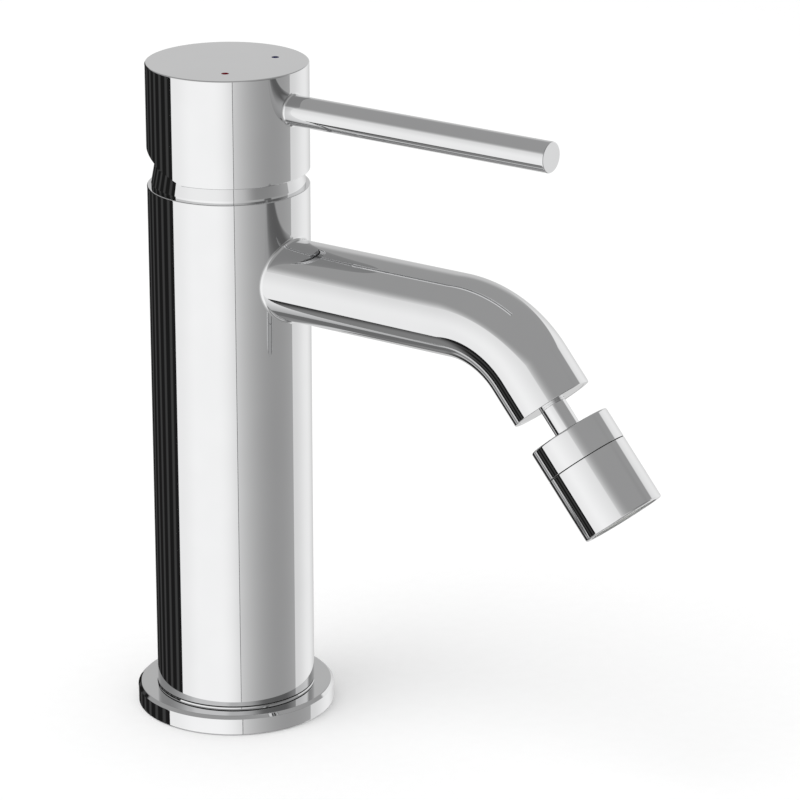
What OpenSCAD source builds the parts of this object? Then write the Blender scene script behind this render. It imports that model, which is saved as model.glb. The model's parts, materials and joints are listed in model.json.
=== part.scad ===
// Single-lever bidet mixer, in millimetres.
// A round column stands on a base flange. A bent spout leaves its front and ends in an
// aerator on a ball joint. A round head with a pin lever works a ceramic cartridge inside
// the column: turning it mixes hot and cold, lifting it opens the flow.
// The origin is the middle of the foot on the deck. +Z is up, and the spout and the lever
// point along +X.

/* [Column] */
// Diameter of the column and of the head
column_d = 43; // [42.8:0.1:46]
// Height of the column's top above the deck
column_top = 146.6; // [146:0.2:160]
// Diameter of the base flange
flange_d = 53.7; // [53:0.1:60]
// Thickness of the base flange
flange_h = 5.3; // [5:0.1:7]
// Bore of the hollow foot that the hoses and the stud leave through
foot_bore_d = 32; // [31:0.5:33]
// Depth of the hollow foot
foot_depth = 62; // [50:1:70]

/* [Water inlets] */
// Tapping diameter of the hose threads, M10 x 1
inlet_d = 9; // [8.9:0.1:9.1]
// Depth of the hose threads
inlet_thread = 12; // [10:1:16]
// Distance between the two hose threads
inlet_pitch = 15.2; // [14:0.2:16]
// Tapping diameter of the fixing stud's thread, M8
stud_d = 6.8; // [6.7:0.1:6.9]
// Depth of the fixing stud's thread
stud_thread = 14; // [10:1:20]

/* [Spout] */
// Outer diameter of the spout
spout_d = 21.7; // [21:0.1:22]
// Wall of the spout
spout_wall = 1.5; // [1.2:0.1:1.8]
// Distance from the column's top down to the spout's axis
spout_drop = 22.8; // [22.4:0.1:23.2]
// Length of the level run, from the column's axis to the bend
spout_run = 73.8; // [60:0.2:100]
// Radius of the bend at the tube's middle
bend_r = 28; // [20:0.5:40]
// Angle of the bend, which is also the outlet's angle below level
bend_angle = 50; // [30:1:60]
// Length of the straight end after the bend
spout_tail = 10.8; // [10.6:0.2:20]

/* [Aerator] */
// Outer diameter of the aerator
aerator_d = 22.1; // [21.8:0.1:24]
// Length of the aerator
aerator_h = 26.2; // [25.8:0.1:30]
// Length of stem that shows between the spout and the aerator
aerator_gap = 8; // [7.5:0.1:10]
// Length of the aerator's cap, down to the seam
cap_h = 8.4; // [8:0.1:9]
// Diameter of the stem
stem_d = 7; // [6:0.1:7]
// Diameter of the ball
ball_d = 13; // [12.8:0.1:13.2]
// Largest tilt of the aerator in each of its two planes, in degrees
tilt_max = 15; // [5:1:15]

/* [Handle] */
// Gap between the column and the head
head_gap = 4.2; // [4:0.1:5]
// Height of the head
head_h = 28.8; // [28:0.1:34]
// Slope of the head's rear underside, which the lift needs, in degrees
head_cut = 20; // [18:1:24]
// Diameter of the lever
lever_d = 8; // [6:0.1:9]
// Distance from the column's axis to the lever's end
lever_reach = 101; // [70:1:130]
// Distance from the head's top down to the lever's axis
lever_drop = 9.9; // [9:0.1:11]
// Diameter of the hot and cold dots
dot_d = 2; // [1.5:0.1:3]

/* [Cartridge] */
// Outer diameter of the cartridge
cartridge_d = 34.8; // [34.6:0.1:35]
// Height of the cartridge's base
cartridge_base_h = 12; // [11:0.5:12]
// Thickness of each ceramic disc
disc_h = 4; // [3.5:0.1:4]
// Diameter of the fixed ceramic disc
fixed_disc_d = 29; // [28:0.5:29.5]
// Diameter of the moving ceramic disc
moving_disc_d = 19; // [18.5:0.5:19.5]
// Distance from the spindle's pivot down to its ball tip
tip_arm = 12; // [11.5:0.1:12]
// Width of the spindle's square shank
shank_w = 8; // [7:0.1:8]
// Largest lift of the lever, in degrees
lift_max = 20; // [10:1:20]

/* [Hidden] */
$fn = 96;

// Colours
chrome = [0.80, 0.81, 0.83];
brass = [0.78, 0.62, 0.32];
rubber = [0.07, 0.07, 0.07];
pale_plastic = [0.86, 0.86, 0.82];
grey_plastic = [0.45, 0.47, 0.50];
ceramic = [0.93, 0.91, 0.86];
steel = [0.62, 0.63, 0.64];
hot_red = [0.72, 0.06, 0.07];
cold_blue = [0.07, 0.10, 0.55];

// Gaps
cut = 1;            // how far a cutting shape runs past the face it cuts
fit = 0.03;         // pieces that are screwed, brazed or pressed together
turning_gap = 0.1;  // pieces that turn on each other
free_gap = 0.3;     // pieces that pass each other

// Column
column_r = column_d / 2;
column_edge = 0.4;
flange_r = flange_d / 2;
flange_edge = 0.8;
spigot_r = 18.5;
spigot_groove_r = 17.3;
spigot_groove_z = 2.2;
spigot_groove_h = 1.6;
gasket_r_in = 20.5;
gasket_r_out = 24.5;
gasket_h = 2;

// Water ways in the column's web
inlet_x = 4.5;
inlet_way_d = 7;
stud_x = -9.5;
peg_x = -8;
peg_y = 9;
peg_d = 4;
peg_h = 2.8;

// Spout
spout_r = spout_d / 2;
spout_bore_r = spout_r - spout_wall;
spout_z = column_top - spout_drop;
spout_end_edge = 0.4;
seam_lap = 0.4;
seam_step = 0.1;
bush_recess = 0.5;
bush_h = 8.8;
bush_groove_depth = 1.4;
bush_groove_r = spout_bore_r - bush_groove_depth;
bush_groove_h = 1.6;
stem_r = stem_d / 2;
stem_thread_r = 4;
stem_thread_h = 6;
stem_way_r = 2;

// Aerator, measured along its axis from the spout's end
aerator_r = aerator_d / 2;
aerator_edge = 0.25;
ball_r = ball_d / 2;
ball_depth = 6;
ball_at = aerator_gap + ball_depth;
ball_flat = 5.6;
seat_wall = 1;
seat_r = ball_r + turning_gap;
cavity_r = seat_r + seat_wall + turning_gap;
seat_start = 1.15;
seat_end = 4;
tilt_both = acos(cos(tilt_max) * cos(tilt_max));
neck_r = 9.4;
neck_start = 0.4;
throat_r = 4.5;
chamber_at = 15.6;
chamber_bore_r = 9.5;
gasket_ring_h = 1.2;
insert_h = 8.2;
insert_plate = 2.2;
insert_wall = 1.4;
jet_count = 12;
jet_r = 0.7;
jet_ring_r = 5.2;
mesh_h = 1.2;
mesh_cell = 1.7;
mesh_web = 0.4;

// Cartridge levels, worked out from the spindle's pivot
pivot_drop = 0.6;
pivot_z = column_top - pivot_drop;
hub_drop = 5.5;
tip_z = pivot_z - tip_arm;
tip_r = 3;
tip_rod_r = 2.4;
tip_sink = 1;
driver_top = tip_z + tip_sink;
driver_h = 5;
moving_disc_z = driver_top - driver_h - disc_h;
fixed_disc_z = moving_disc_z - disc_h;
base_z = fixed_disc_z - cartridge_base_h;
rotor_play = 0.2;
rotor_z = driver_top + 2 * rotor_play;
rotor_flange_h = 2.9;
rotor_rise = 5;
rotor_top = pivot_z + rotor_rise;
shoulder_drop = 6;
shoulder_z = pivot_z - shoulder_drop;
collar_rise = 3.5;
collar_top = pivot_z + collar_rise;

// Cartridge radii
cartridge_r = cartridge_d / 2;
cartridge_bore_r = 18;
chamber_r = 18.75;
chamber_below = 1;
chamber_above = 0.6;
chamber_z = spout_z - spout_r - chamber_below;
chamber_top = spout_z + spout_r + chamber_above;
thread_r = 19;
nut_bore_r = 14.1;
nut_boss_r = 17.2;
nut_notch_w = 4;
nut_notch_h = 2;
collar_r = 13.9;
housing_bore_r = 15;
rotor_flange_r = housing_bore_r - rotor_play;
rotor_collar_r = 11.1;
rotor_opening_r = rotor_collar_r + free_gap;
rotor_slot_play = 3.2;
housing_groove_r = 16.2;
housing_groove_h = 2;
pin_r = 1.5;
pin_half = 10.8;

// Ways and seals of the cartridge's base
seal_recess = 1.6;
inlet_recess_r = 5;
inlet_seal_r = 0.78;
base_way_r = 3;
outlet_channel_h = 3;
disc_seal_r = 0.75;

// Ports of the discs
disc_inlet_x = 3.2;
disc_inlet_y = 4.5;
disc_inlet_r = 2;
disc_outlet_x = -3.2;
disc_outlet_r = 2.2;
disc_notch_r = 1.5;
disc_pocket = [[-7, -3.2], [0.8, 3.2]];
disc_pocket_h = 2;
drive_peg_r = 1.4;
drive_peg_y = 6.4;
drive_peg_h = 1.8;
tongue_x = 5;
tongue_h = 2.5;
tongue_wall = 0.6;
slide_max = tip_arm * lift_max * PI / 180;

// Cover ring: radius and height above the column's top
cover_inset = 1.1;
cover_foot_r = column_r - cover_inset;
cover_foot_h = 0.8;
cover_taper = 0.9;
cover_shoulder_r = cover_foot_r - cover_taper;
cover_shoulder_h = 5.6;
cover_bevel = 0.6;
cover_top_r = cover_shoulder_r - cover_bevel;
cover_top_h = 6.3;
cover_lip = 1.6;
cover_eye_r = 9;

// Handle
head_r = column_r;
head_z = column_top + head_gap;
head_top = head_z + head_h;
head_edge = 0.4;
head_lip = 0.3;
head_wall = 1.2;
head_hollow_r = column_r - head_wall;
head_hollow_h = 9.2;
head_cut_x = 1.5;
shank_rise = 23;
shank_top = head_z + shank_rise;
lever_r = lever_d / 2;
lever_z = head_top - lever_drop;
lever_root_x = 12.5;
lever_edge = 0.3;
grub_r = 2.5;
grub_drop = 12.5;
grub_z = head_top - grub_drop;
grub_h = 6;
grub_socket_d = 2.9;
grub_socket_h = 3;
dot_x = 7.7;
dot_y = 10.7;
dot_h = 0.6;

// Turns an outline of [radius, height] points about +Z
module revolve(points) {
    rotate_extrude() polygon(points);
}

// Flat ring standing on z = 0
module ring(r_out, r_in, h) {
    rotate_extrude() translate([r_in, 0]) square([r_out - r_in, h]);
}

// Ring of round section about +Z
module round_ring(r_middle, r_section) {
    rotate_extrude() translate([r_middle, 0]) circle(r = r_section);
}

// Children at both sides of the plane y = 0, at the distance y
module both_sides(x, y) {
    for (side = [-1, 1])
        translate([x, side * y, 0]) children();
}

// Children about the bend's centre, turned so that the bend ends at the top
module at_bend() {
    translate([spout_run, 0, spout_z - bend_r]) rotate([0, bend_angle, 0]) children();
}

// Children with their +Z along the outlet's axis, from the middle of the spout's end
module at_outlet(along) {
    at_bend() translate([spout_tail + along, 0, bend_r]) rotate([0, 90, 0]) children();
}

// Children with their +Z along +X, at the height z
module along_x(z) {
    translate([0, 0, z]) rotate([0, 90, 0]) children();
}

// Radius that the stem sweeps in the cap's mouth, at a height above the ball's centre
function mouth_r(h) = stem_r / cos(tilt_both) + h * tan(tilt_both) + free_gap;

// Turned column: hollow foot below, a solid web with the water ways, the cartridge above
module body_column() {
    outline = [
        [0, 0], [spigot_r, 0], [spigot_r, flange_h], [column_r, flange_h],
        [column_r, column_top - column_edge], [column_r - column_edge, column_top],
        [0, column_top]
    ];
    color(chrome) difference() {
        revolve(outline);
        translate([0, 0, -cut]) cylinder(d = foot_bore_d, h = foot_depth + cut);
        translate([0, 0, spigot_groove_z])
            ring(spigot_r + cut, spigot_groove_r, spigot_groove_h);
        translate([0, 0, base_z])
            cylinder(r = cartridge_bore_r, h = column_top);
        translate([0, 0, chamber_z])
            cylinder(r = chamber_r, h = chamber_top - chamber_z);
        translate([0, 0, shoulder_z])
            cylinder(r = thread_r, h = column_top);
        along_x(spout_z) cylinder(r = spout_r + fit, h = column_d);
        both_sides(inlet_x, inlet_pitch / 2) {
            translate([0, 0, foot_depth - cut])
                cylinder(d = inlet_d, h = inlet_thread + cut);
            translate([0, 0, foot_depth])
                cylinder(d = inlet_way_d, h = column_top);
        }
        translate([stud_x, 0, foot_depth - cut])
            cylinder(d = stud_d, h = stud_thread + cut);
        both_sides(peg_x, peg_y)
            translate([0, 0, base_z - peg_h - free_gap])
                cylinder(d = peg_d + 2 * fit, h = peg_h + cut);
    }
}

// Foot plate round the column's spigot, with a groove for the gasket below
module base_flange() {
    outline = [
        [spigot_r + fit, 0], [flange_r, 0], [flange_r, flange_h - flange_edge],
        [flange_r - flange_edge, flange_h], [spigot_r + fit, flange_h]
    ];
    color(chrome) difference() {
        revolve(outline);
        translate([0, 0, -cut])
            ring(gasket_r_out + fit, gasket_r_in - fit, gasket_h + cut);
    }
}

module flange_gasket() {
    color(rubber) ring(gasket_r_out, gasket_r_in, gasket_h);
}

module flange_o_ring() {
    section_r = (spigot_r - spigot_groove_r) / 2;
    color(rubber)
        translate([0, 0, spigot_groove_z + spigot_groove_h / 2])
            round_ring(spigot_groove_r + section_r, section_r);
}

// Solid of the spout's path at the radius r, from the column's axis to past its end.
// The bend is slightly drawn in, and the straight runs lap over its ends.
module spout_path(r, past) {
    along_x(spout_z) cylinder(r = r, h = spout_run + seam_lap);
    at_bend() rotate([90, 0, 0]) rotate([0, 0, 90])
        rotate_extrude(angle = bend_angle)
            translate([bend_r, 0]) circle(r = r - seam_step);
    at_outlet(-spout_tail - seam_lap) cylinder(r = r, h = spout_tail + seam_lap + past);
}

// Bent tube, cut at its root to the round wall that it is brazed into
module spout_tube() {
    rim = [
        [spout_r - spout_end_edge, 0], [spout_r + cut, 0], [spout_r + cut, -spout_end_edge - cut],
        [spout_r, -spout_end_edge]
    ];
    color(chrome) difference() {
        spout_path(spout_r, 0);
        spout_path(spout_bore_r, cut);
        cylinder(r = chamber_r + free_gap, h = column_top);
        at_outlet(0) revolve(rim);
    }
}

// Plug in the spout's end that the stem is screwed into
module outlet_bush() {
    color(chrome) at_outlet(-bush_recess - bush_h) difference() {
        cylinder(r = spout_bore_r - fit, h = bush_h);
        translate([0, 0, -cut]) cylinder(r = stem_way_r, h = bush_h);
        translate([0, 0, bush_h - stem_thread_h])
            cylinder(r = stem_thread_r + fit, h = stem_thread_h + cut);
        translate([0, 0, bush_h / 2 - bush_groove_h / 2])
            ring(spout_r, bush_groove_r, bush_groove_h);
    }
}

module outlet_o_ring() {
    section_r = (spout_bore_r - bush_groove_r) / 2;
    color(rubber) at_outlet(-bush_recess - bush_h / 2)
        round_ring(bush_groove_r + section_r, section_r);
}

// Hollow stem with the ball that carries the aerator
module ball_stem() {
    root = bush_recess + stem_thread_h;
    color(chrome) at_outlet(0) difference() {
        union() {
            translate([0, 0, -root]) cylinder(r = stem_thread_r, h = stem_thread_h);
            translate([0, 0, -bush_recess]) cylinder(r = stem_r, h = ball_at + bush_recess);
            intersection() {
                translate([0, 0, ball_at]) sphere(r = ball_r);
                cylinder(r = ball_d, h = ball_at + ball_flat);
            }
        }
        translate([0, 0, -root - cut]) cylinder(r = stem_way_r, h = root + ball_at + ball_d);
    }
}

// Ring between two spheres about the ball, from one height to another above its centre
module seat_zone(low, high) {
    intersection() {
        difference() {
            sphere(r = seat_r + seat_wall);
            sphere(r = seat_r);
        }
        translate([0, 0, low]) cylinder(r = ball_d, h = high - low);
    }
}

module ball_seat_upper() {
    color(grey_plastic) at_outlet(ball_at) seat_zone(-seat_end, -seat_start);
}

module ball_seat_lower() {
    color(grey_plastic) at_outlet(ball_at) seat_zone(seat_start, seat_end);
}

// Upper part of the aerator, with the conical mouth that the stem swings in
module aerator_cap() {
    outline = [
        [0, 0], [aerator_r - aerator_edge, 0], [aerator_r, aerator_edge],
        [aerator_r, cap_h - aerator_edge], [aerator_r - aerator_edge, cap_h], [0, cap_h]
    ];
    color(chrome) at_outlet(aerator_gap) difference() {
        revolve(outline);
        translate([0, 0, ball_depth]) sphere(r = cavity_r);
        cylinder(r1 = mouth_r(ball_depth), r2 = mouth_r(0), h = ball_depth);
        translate([0, 0, ball_depth + neck_start / 2])
            cylinder(r = neck_r + fit, h = cap_h);
    }
}

// Lower part of the aerator: the lower half of the socket, a throat and the insert's bore
module aerator_shell() {
    outline = [
        [0, ball_depth + neck_start], [neck_r, ball_depth + neck_start], [neck_r, cap_h],
        [aerator_r - aerator_edge, cap_h], [aerator_r, cap_h + aerator_edge],
        [aerator_r, aerator_h - aerator_edge], [aerator_r - aerator_edge, aerator_h],
        [0, aerator_h]
    ];
    color(chrome) at_outlet(aerator_gap) difference() {
        revolve(outline);
        translate([0, 0, ball_depth]) sphere(r = cavity_r);
        translate([0, 0, ball_depth]) cylinder(r = throat_r, h = aerator_h);
        translate([0, 0, chamber_at]) cylinder(r = chamber_bore_r, h = aerator_h);
    }
}

module aerator_gasket() {
    color(rubber) at_outlet(aerator_gap + chamber_at)
        ring(chamber_bore_r - free_gap, throat_r + cut, gasket_ring_h);
}

// Cup with a ring of jets in its upper plate
module aerator_insert() {
    body_r = chamber_bore_r - fit;
    color(pale_plastic) at_outlet(aerator_gap + chamber_at + gasket_ring_h) difference() {
        cylinder(r = body_r, h = insert_h);
        translate([0, 0, insert_plate])
            cylinder(r = body_r - insert_wall, h = insert_h);
        for (jet = [0 : jet_count - 1])
            rotate([0, 0, jet * 360 / jet_count])
                translate([jet_ring_r, 0, -cut])
                    cylinder(r = jet_r, h = insert_h);
    }
}

// Honeycomb screen inside the cup's mouth
module aerator_mesh() {
    screen_r = chamber_bore_r - insert_wall - 2 * fit;
    row_step = mesh_cell * sin(60);
    rows = floor(screen_r / row_step);
    hole_d = (mesh_cell - mesh_web) / cos(30);
    color(grey_plastic)
        at_outlet(aerator_gap + chamber_at + gasket_ring_h + insert_h - 2 * mesh_h)
            difference() {
                cylinder(r = screen_r, h = mesh_h);
                for (row = [-rows : rows], column = [-rows - 1 : rows + 1]) {
                    x = (column + (abs(row) % 2) / 2) * mesh_cell;
                    y = row * row_step;
                    if (norm([x, y]) < screen_r - mesh_cell / 2 - mesh_web)
                        translate([x, y, -cut]) rotate([0, 0, 30])
                            cylinder(d = hole_d, h = mesh_h + 2 * cut, $fn = 6);
                }
            }
}

// Ring nut that clamps the cartridge, with a boss for the cover ring
module cartridge_nut() {
    boss_top = rotor_top;
    outline = [
        [nut_bore_r, shoulder_z], [thread_r - fit, shoulder_z],
        [thread_r - fit, column_top - free_gap], [nut_boss_r, column_top - free_gap],
        [nut_boss_r, boss_top], [nut_bore_r, boss_top]
    ];
    color(brass) difference() {
        revolve(outline);
        for (turn = [0, 90])
            rotate([0, 0, turn])
                translate([-column_d / 2, -nut_notch_w / 2, boss_top - nut_notch_h])
                    cube([column_d, nut_notch_w, nut_notch_h + cut]);
    }
}

// Slightly conical neck that hides the nut, closed above but for the spindle's eye
module cover_ring() {
    outline = [
        [nut_boss_r + fit, 0], [cover_foot_r, 0], [cover_foot_r, cover_foot_h],
        [cover_shoulder_r, cover_shoulder_h], [cover_top_r, cover_top_h],
        [cover_eye_r, cover_top_h], [cover_eye_r, cover_top_h - cover_lip],
        [nut_boss_r + fit, cover_top_h - cover_lip]
    ];
    color(chrome) translate([0, 0, column_top]) revolve(outline);
}

// Cartridge's outer cup, with a shoulder under the nut and a collar for the rotor
module cartridge_housing() {
    roof_z = rotor_z + rotor_flange_h + rotor_play;
    outline = [
        [housing_bore_r, fixed_disc_z], [cartridge_r, fixed_disc_z],
        [cartridge_r, shoulder_z], [collar_r, shoulder_z], [collar_r, collar_top],
        [rotor_opening_r, collar_top], [rotor_opening_r, roof_z], [housing_bore_r, roof_z]
    ];
    color(pale_plastic) difference() {
        revolve(outline);
        translate([0, 0, chamber_top + free_gap])
            ring(cartridge_bore_r, housing_groove_r, housing_groove_h);
    }
}

module housing_seal() {
    section_r = (cartridge_bore_r - housing_groove_r) / 2 - fit;
    color(rubber)
        translate([0, 0, chamber_top + free_gap + housing_groove_h / 2])
            round_ring(housing_groove_r + section_r + fit, section_r);
}

// Two inlets rise to the discs, and the mixed water leaves through the rear of the base
module cartridge_base() {
    color(grey_plastic) translate([0, 0, base_z]) difference() {
        union() {
            cylinder(r = cartridge_r, h = cartridge_base_h);
            both_sides(peg_x, peg_y)
                translate([0, 0, -peg_h]) cylinder(d = peg_d, h = peg_h + cut);
        }
        both_sides(inlet_x, inlet_pitch / 2) {
            translate([0, 0, -cut]) cylinder(r = inlet_recess_r, h = seal_recess + cut);
            cylinder(r = base_way_r, h = cartridge_base_h / 2 + cut);
        }
        both_sides(disc_inlet_x, disc_inlet_y) {
            translate([0, 0, cartridge_base_h / 2])
                cylinder(r = disc_inlet_r, h = cartridge_base_h);
            translate([0, 0, cartridge_base_h - seal_recess])
                cylinder(r = disc_inlet_r + seal_recess, h = cartridge_base_h);
        }
        translate([disc_outlet_x, 0, cartridge_base_h - seal_recess])
            cylinder(r = disc_outlet_r + seal_recess, h = cartridge_base_h);
        translate([disc_outlet_x, 0, cartridge_base_h / 2])
            cylinder(r = disc_outlet_r, h = cartridge_base_h);
        translate([-column_r, -disc_outlet_r, cartridge_base_h / 2])
            cube([column_r + disc_outlet_x, 2 * disc_outlet_r, outlet_channel_h]);
    }
}

// Seals between the column's web and the two inlets of the cartridge
module inlet_seals() {
    color(rubber) both_sides(inlet_x, inlet_pitch / 2)
        translate([0, 0, base_z + inlet_seal_r])
            round_ring(inlet_recess_r - fit - inlet_seal_r, inlet_seal_r);
}

// Seals round the three ports under the fixed disc
module disc_seals() {
    seal_z = fixed_disc_z - disc_seal_r - fit;
    color(rubber) {
        both_sides(disc_inlet_x, disc_inlet_y)
            translate([0, 0, seal_z]) round_ring(disc_inlet_r + disc_seal_r + fit, disc_seal_r);
        translate([disc_outlet_x, 0, seal_z])
            round_ring(disc_outlet_r + disc_seal_r + fit, disc_seal_r);
    }
}

module fixed_disc() {
    color(ceramic) translate([0, 0, fixed_disc_z]) difference() {
        cylinder(d = fixed_disc_d, h = disc_h - turning_gap / 2);
        both_sides(disc_inlet_x, disc_inlet_y)
            translate([0, 0, -cut]) cylinder(r = disc_inlet_r, h = disc_h + 2 * cut);
        translate([disc_outlet_x, 0, -cut])
            cylinder(r = disc_outlet_r, h = disc_h + 2 * cut);
        both_sides(0, fixed_disc_d / 2)
            translate([0, 0, -cut]) cylinder(r = disc_notch_r, h = disc_h + 2 * cut);
    }
}

// Disc with a pocket below that joins the inlets to the outlet when it slides forward
module moving_disc() {
    low = disc_pocket[0];
    size = disc_pocket[1] - disc_pocket[0];
    color(ceramic) translate([0, 0, moving_disc_z]) difference() {
        cylinder(d = moving_disc_d, h = disc_h);
        translate([low.x, low.y, -cut]) cube([size.x, size.y, disc_pocket_h + cut]);
        both_sides(0, drive_peg_y)
            translate([0, 0, disc_h - drive_peg_h - free_gap])
                cylinder(r = drive_peg_r + fit, h = drive_peg_h + cut);
    }
}

// Slide between the spindle's tip and the moving disc
module disc_driver() {
    color(grey_plastic) translate([0, 0, driver_top - driver_h]) difference() {
        union() {
            cylinder(d = moving_disc_d, h = driver_h);
            translate([-tongue_x, -shank_w / 2, driver_h - cut])
                cube([2 * tongue_x, shank_w, tongue_h + cut]);
            both_sides(0, drive_peg_y)
                translate([0, 0, -drive_peg_h]) cylinder(r = drive_peg_r, h = drive_peg_h + cut);
        }
        translate([0, 0, cut])
            cylinder(r = tip_r + free_gap, h = driver_h + tongue_h);
        translate([-tongue_x + tongue_wall, -tip_r - free_gap, driver_h])
            cube([tongue_x - tongue_wall, 2 * (tip_r + free_gap), tongue_h + cut]);
    }
}

// Turning carrier of the spindle
module cartridge_rotor() {
    slot_y = shank_w / 2 + free_gap;
    slot_x = shank_w / 2 + rotor_slot_play;
    front_x = tongue_x + slide_max + free_gap;
    outline = [
        [0, rotor_z], [rotor_flange_r, rotor_z], [rotor_flange_r, rotor_z + rotor_flange_h],
        [rotor_collar_r, rotor_z + rotor_flange_h], [rotor_collar_r, rotor_top], [0, rotor_top]
    ];
    color(pale_plastic) difference() {
        revolve(outline);
        translate([-slot_x, -slot_y, rotor_z - cut])
            cube([2 * slot_x, 2 * slot_y, rotor_top]);
        translate([-tongue_x - free_gap, -slot_y, rotor_z - cut])
            cube([front_x + tongue_x + free_gap, 2 * slot_y, rotor_flange_h + cut]);
        translate([0, 0, pivot_z]) rotate([90, 0, 0])
            cylinder(r = pin_r + fit, h = column_d, center = true);
    }
}

module spindle_pin() {
    color(steel) translate([0, 0, pivot_z]) rotate([90, 0, 0])
        cylinder(r = pin_r, h = 2 * pin_half, center = true);
}

// Square shank for the head above the pivot, a rod with a ball tip below it
module spindle() {
    color(brass) difference() {
        union() {
            translate([-shank_w / 2, -shank_w / 2, pivot_z - hub_drop])
                cube([shank_w, shank_w, shank_top - pivot_z + hub_drop]);
            translate([0, 0, tip_z]) cylinder(r = tip_rod_r, h = tip_arm - hub_drop + cut);
            translate([0, 0, tip_z]) sphere(r = tip_r);
        }
        translate([0, 0, pivot_z]) rotate([90, 0, 0])
            cylinder(r = pin_r + turning_gap / 2, h = column_d, center = true);
    }
}

// Round head, hollow below, with an oblique rear underside that clears the column when lifted
module lever_head() {
    outline = [
        [0, head_z], [head_r - head_lip, head_z], [head_r, head_z + head_lip],
        [head_r, head_top - head_edge], [head_r - head_edge, head_top], [0, head_top]
    ];
    socket_w = shank_w + 2 * fit;
    color(chrome) difference() {
        revolve(outline);
        translate([0, 0, head_z - cut]) cylinder(r = head_hollow_r, h = head_hollow_h + cut);
        translate([head_cut_x, 0, head_z]) rotate([0, head_cut, 0])
            translate([-2 * column_d, -column_d, -column_d])
                cube([2 * column_d, 2 * column_d, column_d]);
        translate([-socket_w / 2, -socket_w / 2, head_z])
            cube([socket_w, socket_w, shank_top - head_z + fit]);
        along_x(lever_z) translate([0, 0, lever_root_x - fit])
            cylinder(r = lever_r + fit, h = column_d);
        along_x(grub_z) translate([0, 0, -column_d])
            cylinder(r = grub_r + fit, h = column_d);
        both_sides(dot_x, dot_y)
            translate([0, 0, head_top - dot_h - fit]) cylinder(d = dot_d + 2 * fit, h = dot_h + cut);
    }
}

module lever_pin() {
    length = lever_reach - lever_root_x;
    outline = [
        [0, 0], [lever_r, 0], [lever_r, length - lever_edge],
        [lever_r - lever_edge, length], [0, length]
    ];
    color(chrome) along_x(lever_z) translate([0, 0, lever_root_x]) revolve(outline);
}

// Set screw that presses on the shank from the rear
module grub_screw() {
    color(steel) along_x(grub_z) translate([0, 0, -shank_w / 2 - fit - grub_h]) difference() {
        cylinder(r = grub_r, h = grub_h);
        translate([0, 0, -cut]) cylinder(d = grub_socket_d, h = grub_socket_h + cut, $fn = 6);
    }
}

// Coloured inlay flush with the head's top
module dot(side, colour) {
    color(colour) translate([dot_x, side * dot_y, head_top - dot_h])
        cylinder(d = dot_d, h = dot_h);
}

module hot_dot() {
    dot(-1, hot_red);
}

module cold_dot() {
    dot(1, cold_blue);
}

body_column();
base_flange();
flange_gasket();
flange_o_ring();
spout_tube();
outlet_bush();
outlet_o_ring();
ball_stem();
cartridge_nut();
cover_ring();
cartridge_housing();
cartridge_base();
housing_seal();
inlet_seals();
disc_seals();
fixed_disc();
moving_disc();
disc_driver();
cartridge_rotor();
spindle_pin();
spindle();
lever_head();
lever_pin();
grub_screw();
hot_dot();
cold_dot();
ball_seat_upper();
ball_seat_lower();
aerator_cap();
aerator_shell();
aerator_gasket();
aerator_insert();
aerator_mesh();
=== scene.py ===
"""Looks of a single-lever bidet mixer: modelled chrome shells, finishes for its works, and a studio."""

import json
import logging
import math
from dataclasses import dataclass
from enum import Enum
from typing import Any, Callable, Mapping, NamedTuple, Sequence, Union

import bmesh
import bpy
from bmesh.types import BMEdge, BMVert
from mathutils import Matrix, Vector


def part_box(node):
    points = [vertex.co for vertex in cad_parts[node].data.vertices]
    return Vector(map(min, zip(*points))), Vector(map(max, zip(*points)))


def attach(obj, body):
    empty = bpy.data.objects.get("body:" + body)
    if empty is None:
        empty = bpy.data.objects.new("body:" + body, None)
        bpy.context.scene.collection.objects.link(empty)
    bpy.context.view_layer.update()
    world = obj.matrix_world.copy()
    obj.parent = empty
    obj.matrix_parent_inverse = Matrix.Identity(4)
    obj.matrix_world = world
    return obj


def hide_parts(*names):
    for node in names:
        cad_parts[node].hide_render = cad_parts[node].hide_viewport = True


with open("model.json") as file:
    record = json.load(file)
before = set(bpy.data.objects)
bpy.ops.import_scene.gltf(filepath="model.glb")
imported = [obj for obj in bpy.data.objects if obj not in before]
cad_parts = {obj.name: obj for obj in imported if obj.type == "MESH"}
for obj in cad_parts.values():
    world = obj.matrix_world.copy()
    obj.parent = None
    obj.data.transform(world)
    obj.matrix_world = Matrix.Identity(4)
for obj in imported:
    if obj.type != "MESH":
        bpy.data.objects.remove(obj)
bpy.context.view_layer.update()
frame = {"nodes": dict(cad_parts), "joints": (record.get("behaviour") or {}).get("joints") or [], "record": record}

LOG = logging.getLogger("mixer")
MM = 0.001
TURN_STEPS = 256
ARC_STEPS = 6
MERGE_DISTANCE = 1e-4
SHARP_ANGLE = math.radians(32)
LARGE_FACE_WEIGHT = 100
RINGS_PER_DRIFT = 7
PLAIN_DETAIL = 2.0
CLOUD_DETAIL = 4.0
NOISE_SPAN = (0.3, 0.7)
SPECK_SPAN = (0.1, 0.5)

Colour = tuple[float, float, float]
Value = Union["Signal", float, Sequence[float]]


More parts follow.
